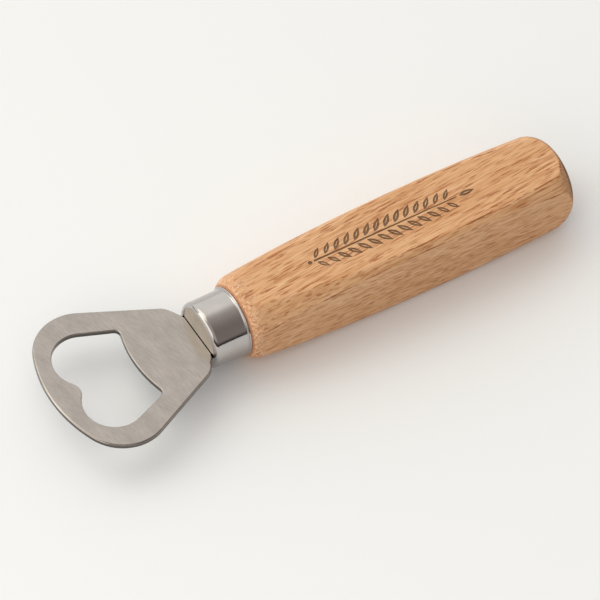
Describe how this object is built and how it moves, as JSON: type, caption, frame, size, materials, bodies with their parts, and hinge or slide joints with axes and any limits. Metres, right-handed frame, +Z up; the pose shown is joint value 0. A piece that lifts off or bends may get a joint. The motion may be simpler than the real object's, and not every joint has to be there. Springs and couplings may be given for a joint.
{
  "type": "bottle opener",
  "caption": "Crown cap bottle opener: flat stamped steel head with a cap mouth, bright slotted ferrule and turned wooden handle.",
  "frame": {"origin": "under the middle of the opener's length and width, on the surface that the handle's lower flat rests on", "axes": "+X along the handle from the cap mouth to the butt, +Z up through the plate's upper face, +Y across the head"},
  "size_m": [0.157, 0.046, 0.0214],
  "materials": {
    "satin_steel": "fine satin, tumbled edges",
    "bright_ferrule": "bright drawn metal",
    "oiled_wood": "open-grained wood with a thin clear satin coat",
    "epoxy": "cured clear amber epoxy"
  },
  "bodies": {
    "root": {"head_plate": "satin_steel", "ferrule": "bright_ferrule", "handle": "oiled_wood", "tang_adhesive": "epoxy"}
  },
  "joints": []
}
